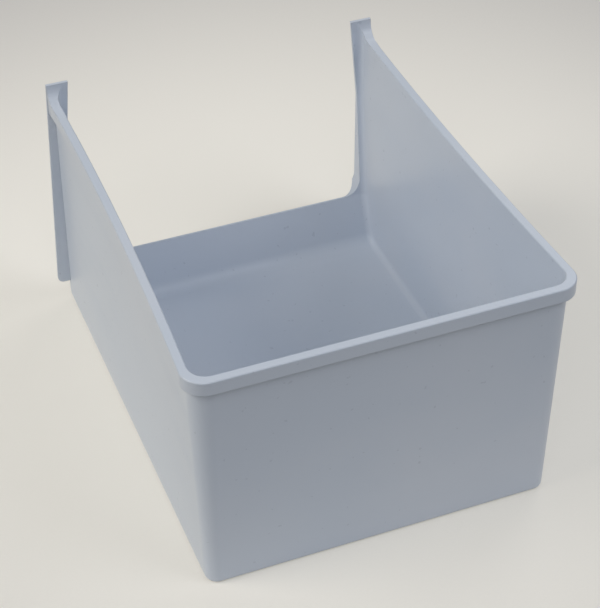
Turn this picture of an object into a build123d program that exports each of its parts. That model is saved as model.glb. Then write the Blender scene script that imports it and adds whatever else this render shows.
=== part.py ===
from build123d import *
from math import hypot
import os

os.makedirs("parts", exist_ok=True)

# A fridge crisper drawer, moulded in one piece: an open tub with a flanged rim,
# a rear wall cut down to a low sloping panel, and a post at each back corner.
# X runs across the drawer, +Y to its back, +Z up. The origin is the centre of
# the floor's underside, halfway between the front of the rim and the posts.

# Overall size
rim_width = 231.0          # across the rim, at the front
depth = 287.0              # front of the rim to the back of the posts
rim_height = 157.6         # underside of the floor to the top of the rim
post_rise = 11.0           # height of the posts above the rim

# Walls
wall = 2.1
floor_thickness = 2.8
side_lean = 5.3            # each side wall's foot, inside its top, at the front
front_lean = 1.6           # the front wall's foot, behind its top
top_corner_radius = 12.5   # upright front corners, at the rim
floor_corner_radius = 7.5  # upright front corners, at the floor
foot_radius = 3.0          # outside edge round the floor
heel_radius = 7.0          # outside edge along the back of the floor
cove_radius = 4.5          # inside edges and corners
upright = 0.3              # upright stretch between each of those edges and the drafted wall

# The free side walls bow inwards towards the back
rear_narrowing = 6.7       # each side, front of the rim to its back
side_bow = 3.1             # each side, inwards of the straight line

# Rim: a flat top with a skirt turned down round the outside
overhang = 3.4             # rim beyond the wall
rim_corner_radius = 13.5   # front corners of the rim, outside
rim_band = 8.8             # height of the skirt
rim_plate = 2.2            # thickness of the rim's top
skirt = 1.6                # thickness of the skirt
rim_edge = 0.5             # bevel along the rim's top edges

# Rear panel, and the notch above it between two columns
panel_height = 36.0        # underside of the floor to the panel's top
panel_run = 13.2           # how far the panel's foot lies ahead of its top
panel_edge = 1.2           # thickness of the panel's top edge
panel_foot_radius = 12.0   # hollow where the panel meets the floor
column_depth = 11.0        # columns at the panel's top, from which they narrow upwards
notch_inset = 8.4          # side of the notch, inside the rim's outer edge
notch_radius = 12.0
recess_radius = 13.0       # corners of the recess behind the panel

# Rear posts, measured from the rim's outer edge at the back
post_reach_in = 13.5       # inwards, at the top
post_reach_out = 0.4       # outwards, at the top
post_foot_reach = 6.3      # outwards, at the foot
post_flare_height = 112.0  # where the posts begin to reach inwards
post_foot_height = 14.5
post_foot_radius = 4.0
sweep_radius = 10.0        # hollow curve from the rim up to each post
flare_length = 22.0        # where the rim widens to meet each post

y_front = -depth / 2
y_rear = depth / 2
y_inside = y_rear - wall
y_panel_top = y_rear - column_depth
y_panel_foot = y_panel_top - panel_run
rim_half = rim_width / 2
rear_half = rim_half - rear_narrowing
floor_half = rim_half - overhang - side_lean
notch_half = rear_half - notch_inset
post_gap_half = rear_half - post_reach_in
post_half = rear_half + post_reach_out
post_foot_half = rear_half + post_foot_reach
post_top = rim_height + post_rise
skirt_bottom = rim_height - rim_band
draft_top = rim_height - rim_plate
clear = 5.0                # how far a cut runs past what it cuts


def panel_back(height):
    """Where the back of the sloping panel lies. The panel thins towards its top edge."""
    rise = panel_height - floor_thickness
    foot_thickness = wall * hypot(rise, panel_run) / rise
    slope = (panel_run + panel_edge - foot_thickness) / rise
    return y_panel_top + panel_edge - slope * (panel_height - height)


def plan_outline(front_half, rear_half, bow, front_y, rear_y, front_radius):
    """Plan of the tub at one height."""
    middle_half = (front_half + rear_half) / 2 - bow
    middle_y = (front_y + rear_y) / 2
    with BuildSketch() as outline:
        with BuildLine():
            front = Line((-front_half, front_y), (front_half, front_y))
            if bow:
                right = ThreePointArc(front @ 1, (middle_half, middle_y), (rear_half, rear_y))
                left = ThreePointArc(front @ 0, (-middle_half, middle_y), (-rear_half, rear_y))
            else:
                right = Line(front @ 1, (rear_half, rear_y))
                left = Line(front @ 0, (-rear_half, rear_y))
            Line(right @ 1, left @ 1)
        make_face()
        fillet(outline.vertices().group_by(Axis.Y)[0], front_radius)
    return outline.sketch


def top_outline(inset, radius, rear_y=y_rear):
    """Plan at the rim, moved inwards from the rim's outer edge by the inset."""
    return plan_outline(
        rim_half - inset, rear_half - inset, side_bow, y_front + inset, rear_y, radius
    )


def floor_outline(inset, rear_y=y_rear):
    """Plan at the floor, moved inwards from the outside of the walls."""
    half = floor_half - inset
    front_y = y_front + overhang + front_lean + inset
    return plan_outline(half, half, 0, front_y, rear_y, floor_corner_radius - inset)


# The outside of the tub, solid
with BuildPart() as tub_outside:
    with BuildSketch(Plane.XY):
        add(floor_outline(0))
    extrude(amount=foot_radius + upright)
    with BuildSketch(Plane.XY.offset(foot_radius + upright)):
        add(floor_outline(0))
    with BuildSketch(Plane.XY.offset(draft_top)):
        add(top_outline(overhang, top_corner_radius))
    loft()
    extrude(faces().sort_by(Axis.Z)[-1], amount=rim_plate)
    underside_edges = faces().sort_by(Axis.Z)[0].edges()
    fillet(underside_edges - underside_edges.group_by(Axis.Y)[-1], foot_radius)
    with BuildSketch(Plane.YZ):
        with BuildLine():
            heel = RadiusArc((y_rear - heel_radius, 0), (y_rear, heel_radius), -heel_radius)
            Polyline(heel @ 1, (y_rear, 0), heel @ 0)
        make_face()
    extrude(amount=rim_width, both=True, mode=Mode.SUBTRACT)

# The space inside it, above the floor and ahead of the panel and the columns
with BuildPart() as cavity:
    with BuildSketch(Plane.XY.offset(floor_thickness)):
        add(floor_outline(wall, y_inside))
    extrude(amount=cove_radius + upright)
    with BuildSketch(Plane.XY.offset(floor_thickness + cove_radius + upright)):
        add(floor_outline(wall, y_inside))
    with BuildSketch(Plane.XY.offset(draft_top)):
        add(top_outline(overhang + wall, top_corner_radius - wall, y_inside))
    loft()
    extrude(faces().sort_by(Axis.Z)[-1], amount=rim_plate)
    with BuildSketch(Plane.YZ) as side_profile:
        with BuildLine():
            Polyline(
                (y_front, floor_thickness),
                (y_panel_foot, floor_thickness),
                (y_panel_top, panel_height),
                (y_inside, post_flare_height),
                (y_inside, rim_height),
                (y_front, rim_height),
                close=True,
            )
        make_face()
        panel_foot = side_profile.vertices().group_by(Axis.Y)[0].sort_by(Axis.X)[-1]
        fillet(panel_foot, panel_foot_radius)
    extrude(amount=rim_width, both=True, mode=Mode.INTERSECT)
    floor_edges = faces().sort_by(Axis.Z)[0].edges()
    rear_corners = edges().filter_by_position(Axis.Y, y_panel_foot - panel_foot_radius, y_rear)
    rear_corners = rear_corners.filter_by(Axis.X, reverse=True)
    fillet(floor_edges - floor_edges.group_by(Axis.Y)[-1] + rear_corners, cove_radius)

# The opening between the ends of the rim, with the corners of the space inside
with BuildSketch() as rim_opening:
    add(top_outline(overhang + wall, top_corner_radius - wall, y_inside))
    fillet(rim_opening.vertices().group_by(Axis.Y)[-1], cove_radius)

# The ends of the rim, widening and sweeping up to the posts
with BuildPart() as rim_ends:
    with BuildSketch(Plane.XY.offset(skirt_bottom)):
        with BuildLine():
            Polyline(
                (skirt / 2 - rear_half, y_inside - flare_length),
                (rear_half - skirt / 2, y_inside - flare_length),
                (post_half, y_inside),
                (-post_half, y_inside),
                close=True,
            )
        make_face()
        add(rim_opening.sketch, mode=Mode.SUBTRACT)
    extrude(amount=rim_band + sweep_radius)
    with BuildSketch(Plane.YZ):
        with BuildLine():
            Polyline(
                (y_inside - sweep_radius, rim_height),
                (y_inside - flare_length, rim_height),
                (y_inside - flare_length, skirt_bottom),
                (y_inside, skirt_bottom),
                (y_inside, rim_height + sweep_radius),
            )
            RadiusArc(
                (y_inside, rim_height + sweep_radius),
                (y_inside - sweep_radius, rim_height),
                sweep_radius,
            )
        make_face()
    extrude(amount=rim_width, both=True, mode=Mode.INTERSECT)

# The recess behind the panel, open below and behind
with BuildPart() as recess:
    with BuildSketch(Plane.YZ):
        with BuildLine():
            Polyline(
                (panel_back(-clear), -clear),
                (panel_back(panel_height + notch_radius), panel_height + notch_radius),
                (y_rear + recess_radius, panel_height + notch_radius),
                (y_rear + recess_radius, -clear),
                close=True,
            )
        make_face()
    extrude(amount=notch_half, both=True)
    panel_face = faces().sort_by(Axis.Y)[0]
    fillet(panel_face.edges().filter_by(Axis.X, reverse=True), recess_radius)

with BuildPart() as drawer_tub:
    # Rim, with the groove between its skirt and the walls
    with BuildSketch(Plane.XY.offset(skirt_bottom)):
        add(top_outline(0, rim_corner_radius))
    extrude(amount=rim_band)
    with BuildSketch(Plane.XY.offset(skirt_bottom)):
        add(top_outline(skirt, rim_corner_radius - skirt))
    extrude(amount=draft_top - skirt_bottom, mode=Mode.SUBTRACT)
    add(tub_outside)
    add(cavity, mode=Mode.SUBTRACT)
    rim_edges = edges().group_by(Axis.Z)[-1]
    chamfer(rim_edges - rim_edges.group_by(Axis.Y)[-1], rim_edge)

    # Posts, still joined across the back
    add(rim_ends)
    with BuildSketch(Plane.XZ.offset(-y_rear)) as post_sketch:
        with BuildLine():
            Polyline(
                (-post_foot_half, post_foot_height),
                (post_foot_half, post_foot_height),
                (post_half, post_top),
                (-post_half, post_top),
                close=True,
            )
        make_face()
        fillet(post_sketch.vertices().group_by(Axis.Y)[0], post_foot_radius)
    extrude(amount=wall)

    # Recess and notch
    add(recess, mode=Mode.SUBTRACT)
    with BuildSketch(Plane.XZ.offset(-y_rear - clear)) as notch_sketch:
        with BuildLine():
            Polyline(
                (-notch_half, panel_height),
                (notch_half, panel_height),
                (notch_half, post_flare_height),
                (post_gap_half, post_top),
                (post_gap_half, post_top + clear),
                (-post_gap_half, post_top + clear),
                (-post_gap_half, post_top),
                (-notch_half, post_flare_height),
                close=True,
            )
        make_face()
        fillet(notch_sketch.vertices().group_by(Axis.Y)[0], notch_radius)
    extrude(amount=column_depth + cove_radius + clear, mode=Mode.SUBTRACT)

drawer_tub.part.label = "drawer_tub"
export_step(drawer_tub.part, "parts/drawer_tub.step")
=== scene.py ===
import math

import bpy
from mathutils import Matrix, Vector

# The crisper drawer in milky pale-blue plastic, on a pale studio floor.
# Metres, in the frame of the solids: X across the drawer, +Y to its back, +Z up.

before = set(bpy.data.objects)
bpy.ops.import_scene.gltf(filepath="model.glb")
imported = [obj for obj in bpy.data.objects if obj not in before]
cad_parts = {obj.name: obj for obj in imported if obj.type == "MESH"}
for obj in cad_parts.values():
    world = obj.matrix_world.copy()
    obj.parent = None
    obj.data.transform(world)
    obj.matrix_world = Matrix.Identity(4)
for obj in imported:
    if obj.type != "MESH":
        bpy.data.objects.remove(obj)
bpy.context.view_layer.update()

# Camera, placed where the photograph was taken from
CAMERA_PLACE = (-0.30992, -0.80150, 0.77646)
CAMERA_TARGET = (0.007035, 0.009037, 0.060)
CAMERA_ROLL = math.radians(-0.26)
LENS_MM = 108.76
SENSOR_MM = 36.0
CLIP_START = 0.01
CLIP_END = 50.0

# Plastic. Colours here are sRGB, 0 to 255. Below a roughness of about 0.28 the
# denoised picture shows lines where the roughness changes, so it stays above that.
PLASTIC_BLUE = (207, 215, 226)
PLASTIC_PALE = (213, 219, 228)
SPECK_COLOUR = (120, 130, 146)
SPECK_SHARE = 0.16
ROUGHNESS_LOW = 0.295
ROUGHNESS_HIGH = 0.345
RUB_ROUGHNESS = 0.05           # added at most by the rub marks
EDGE_ROUNDING = 0.0005
WAVE_STRENGTH = 0.12
WAVE_HEIGHT = 0.002
GRAIN_STRENGTH = 0.03
GRAIN_HEIGHT = 0.0002
PLASTIC_IOR = 1.49

# Floor: paper with a painted pool of light, its colour pale near the drawer and darker
# outwards, and a tone added for the camera and for reflections alone, which lights nothing
PAPER_PAINTED_LIT_NEAR = (232, 228, 220)
PAPER_PAINTED_SHADE_FAR = (96, 94, 90)
PAINTED_POOL_INNER_RADIUS = 0.18
PAINTED_POOL_OUTER_RADIUS = 0.62
PAPER_ROUGHNESS = 0.9
FIBRE_CONTRAST = 0.03
FIBRE_STRENGTH = 0.05
FIBRE_HEIGHT = 0.0002
BACKGROUND_NEAR = (122, 119, 111)
BACKGROUND_FAR = (164, 162, 160)
FLOOR_CENTRE = (0.035, 0.085, 0.0)
FLOOR_SIZE = 8.0

# Lights
SKY_COLOUR = (0.92, 0.97, 1.06)
SKY_STRENGTH = 0.25
LAMP_SIZE = 1.2
LAMP_TARGET = (0.0, 0.0, 0.05)
LAMPS = (
    # name, place, colour, watts
    ("left", (-1.55, 0.15, 1.35), (1.0, 0.97, 0.90), 16.0),
    ("right", (1.0, -0.9, 1.6), (0.95, 0.98, 1.04), 8.0),
    ("back", (1.3, 1.1, 1.2), (1.0, 1.0, 1.0), 5.0),
    ("front", (-0.6, -1.2, 1.3), (0.93, 0.97, 1.06), 3.5),
)


def linear(red, green, blue):
    """An sRGB colour, 0 to 255, as the linear values that a shader takes."""
    def one(level):
        share = level / 255
        return share / 12.92 if share <= 0.04045 else ((share + 0.055) / 1.055) ** 2.4
    return (one(red), one(green), one(blue), 1.0)


def make_camera():
    data = bpy.data.cameras.new("camera")
    data.sensor_fit = "HORIZONTAL"
    data.sensor_width = SENSOR_MM
    data.lens = LENS_MM
    data.clip_start = CLIP_START
    data.clip_end = CLIP_END
    camera = bpy.data.objects.new("camera", data)
    bpy.context.scene.collection.objects.link(camera)
    look = Vector(CAMERA_TARGET) - Vector(CAMERA_PLACE)
    aim = look.to_track_quat("-Z", "Y").to_matrix().to_4x4()
    turn = aim @ Matrix.Rotation(CAMERA_ROLL, 4, "Z")
    camera.matrix_world = Matrix.Translation(CAMERA_PLACE) @ turn
    bpy.context.scene.camera = camera


class Nodes:
    """A material, with short ways to add the nodes that it is built from."""

    def __init__(self, name):
        self.material = bpy.data.materials.new(name)
        self.material.use_nodes = True
        self.tree = self.material.node_tree
        self.shader = self.tree.nodes["Principled BSDF"]
        self.place = self.add("ShaderNodeTexCoord").outputs["Object"]

    def add(self, kind, **settings):
        node = self.tree.nodes.new(kind)
        for key, value in settings.items():
            setattr(node, key, value)
        return node

    def link(self, source, target):
        self.tree.links.new(source, target)

    def noise(self, scale, detail=2.0, distortion=0.0, stretch=None):
        """Noise over the object's own coordinates, finer by the stretch factor along each axis."""
        node = self.add("ShaderNodeTexNoise")
        node.inputs["Scale"].default_value = scale
        node.inputs["Detail"].default_value = detail
        node.inputs["Distortion"].default_value = distortion
        if stretch:
            mapping = self.add("ShaderNodeMapping")
            mapping.inputs["Scale"].default_value = stretch
            self.link(self.place, mapping.inputs["Vector"])
            self.link(mapping.outputs["Vector"], node.inputs["Vector"])
        else:
            self.link(self.place, node.inputs["Vector"])
        return node.outputs["Fac"]

    def remap(self, value, from_low, from_high, to_low, to_high, smooth=False):
        """A value mapped from one range to another, held at its ends."""
        node = self.add("ShaderNodeMapRange")
        if smooth:
            node.interpolation_type = "SMOOTHSTEP"
        self.link(value, node.inputs["Value"])
        for name, number in (("From Min", from_low), ("From Max", from_high),
                             ("To Min", to_low), ("To Max", to_high)):
            node.inputs[name].default_value = number
        return node.outputs["Result"]

    def combine(self, operation, first, second):
        """Two values, each a number or a socket, put through one Math operation."""
        node = self.add("ShaderNodeMath", operation=operation)
        for socket, value in zip(node.inputs, (first, second)):
            if isinstance(value, (int, float)):
                socket.default_value = value
            else:
                self.link(value, socket)
        return node.outputs["Value"]

    def mix(self, share, first, second):
        """Colour mixed from two others, each four numbers or a socket."""
        node = self.add("ShaderNodeMix", data_type="RGBA")
        self.link(share, node.inputs["Factor"])
        for socket, value in ((node.inputs[6], first), (node.inputs[7], second)):
            if isinstance(value, tuple):
                socket.default_value = value
            else:
                self.link(value, socket)
        return node.outputs[2]

    def bump(self, height, strength, distance, under=None):
        """A normal tilted by the height, over the normal under it if there is one."""
        node = self.add("ShaderNodeBump")
        node.inputs["Strength"].default_value = strength
        node.inputs["Distance"].default_value = distance
        self.link(height, node.inputs["Height"])
        if under:
            self.link(under, node.inputs["Normal"])
        return node.outputs["Normal"]


def drawer_plastic():
    """Milky injection-moulded plastic: slight clouding, specks, a fine grain and faint rub marks."""
    plastic = Nodes("drawer_plastic")

    # Slight clouding, finer up the walls
    clouds = plastic.noise(9.0, detail=2.0, distortion=0.3)
    flow = plastic.noise(5.0, detail=2.0, stretch=(1.0, 1.0, 2.5))
    tone = plastic.combine("MULTIPLY", clouds, flow)
    share = plastic.remap(tone, 0.10, 0.42, 0.0, 1.0, smooth=True)
    colour = plastic.mix(share, linear(*PLASTIC_BLUE), linear(*PLASTIC_PALE))

    # Specks of dust and tiny moulding flaws
    specks = plastic.noise(260.0, detail=1.0)
    specks = plastic.remap(specks, 0.735, 0.77, 0.0, SPECK_SHARE, smooth=True)
    colour = plastic.mix(specks, colour, linear(*SPECK_COLOUR))
    plastic.link(colour, plastic.shader.inputs["Base Color"])

    # Uneven gloss, and faint rub marks along the walls from sliding in and out
    rubs = plastic.noise(60.0, detail=3.0, stretch=(1.0, 0.06, 1.0))
    rubs = plastic.remap(rubs, 0.50, 0.74, 0.0, RUB_ROUGHNESS, smooth=True)
    gloss = plastic.remap(clouds, 0.3, 0.7, ROUGHNESS_LOW, ROUGHNESS_HIGH)
    plastic.link(plastic.combine("ADD", gloss, rubs), plastic.shader.inputs["Roughness"])

    # Softened edges, slow waves of the moulded walls and the fine grain over them
    edges = plastic.add("ShaderNodeBevel", samples=4)
    edges.inputs["Radius"].default_value = EDGE_ROUNDING
    waves = plastic.noise(16.0, detail=1.0)
    normal = plastic.bump(waves, WAVE_STRENGTH, WAVE_HEIGHT, edges.outputs["Normal"])
    grain = plastic.noise(1400.0, detail=2.0)
    normal = plastic.bump(grain, GRAIN_STRENGTH, GRAIN_HEIGHT, normal)
    plastic.link(normal, plastic.shader.inputs["Normal"])

    plastic.shader.inputs["IOR"].default_value = PLASTIC_IOR
    return plastic.material


def floor_paper():
    """Paper with fine fibres and a painted pool of light, pale near the drawer and darker outwards,
    and the background tone that the camera and reflections add.
    """
    paper = Nodes("floor_paper")

    # Share that grows with the distance from the floor's centre
    offset = paper.add("ShaderNodeVectorMath", operation="SUBTRACT")
    offset.inputs[1].default_value = FLOOR_CENTRE
    paper.link(paper.place, offset.inputs[0])
    distance = paper.add("ShaderNodeVectorMath", operation="LENGTH")
    paper.link(offset.outputs["Vector"], distance.inputs[0])
    share = paper.remap(
        distance.outputs["Value"], PAINTED_POOL_INNER_RADIUS, PAINTED_POOL_OUTER_RADIUS, 0.0, 1.0, smooth=True
    )
    # Painted pool of light: the paper's colour is pale near the drawer and darker outwards
    colour = paper.mix(share, linear(*PAPER_PAINTED_LIT_NEAR), linear(*PAPER_PAINTED_SHADE_FAR))
    paper.link(colour, paper.shader.inputs["Base Color"])

    # Background tone
    tone = paper.mix(share, linear(*BACKGROUND_NEAR), linear(*BACKGROUND_FAR))
    paper.link(tone, paper.shader.inputs["Emission Color"])
    rays = paper.add("ShaderNodeLightPath").outputs
    seen = paper.combine("MAXIMUM", rays["Is Camera Ray"], rays["Is Glossy Ray"])
    seen = paper.combine("MAXIMUM", seen, rays["Is Transmission Ray"])
    fibres = paper.noise(700.0, detail=3.0)
    fibres = paper.remap(fibres, 0.3, 0.7, 1 - FIBRE_CONTRAST, 1 + FIBRE_CONTRAST)
    paper.link(paper.combine("MULTIPLY", fibres, seen), paper.shader.inputs["Emission Strength"])

    paper.shader.inputs["Roughness"].default_value = PAPER_ROUGHNESS
    normal = paper.bump(fibres, FIBRE_STRENGTH, FIBRE_HEIGHT)
    paper.link(normal, paper.shader.inputs["Normal"])
    return paper.material


def make_floor():
    bpy.ops.mesh.primitive_plane_add(size=FLOOR_SIZE, location=(0, 0, 0))
    floor = bpy.context.object
    floor.name = "floor"
    floor.data.materials.append(floor_paper())


def make_lamp(name, place, colour, watts):
    data = bpy.data.lights.new(name, "AREA")
    data.shape = "DISK"
    data.size = LAMP_SIZE
    data.color = colour
    data.energy = watts
    lamp = bpy.data.objects.new(name, data)
    bpy.context.scene.collection.objects.link(lamp)
    lamp.location = place
    look = Vector(LAMP_TARGET) - Vector(place)
    lamp.rotation_mode = "QUATERNION"
    lamp.rotation_quaternion = look.to_track_quat("-Z", "Y")


def make_world():
    world = bpy.data.worlds.new("world")
    bpy.context.scene.world = world
    world.use_nodes = True
    background = world.node_tree.nodes["Background"]
    background.inputs["Color"].default_value = (*SKY_COLOUR, 1)
    background.inputs["Strength"].default_value = SKY_STRENGTH


make_camera()
make_floor()
make_world()
for lamp_row in LAMPS:
    make_lamp(*lamp_row)
bpy.context.scene.view_settings.view_transform = "Standard"

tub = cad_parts["drawer_tub"]
tub.data.materials.clear()
tub.data.materials.append(drawer_plastic())
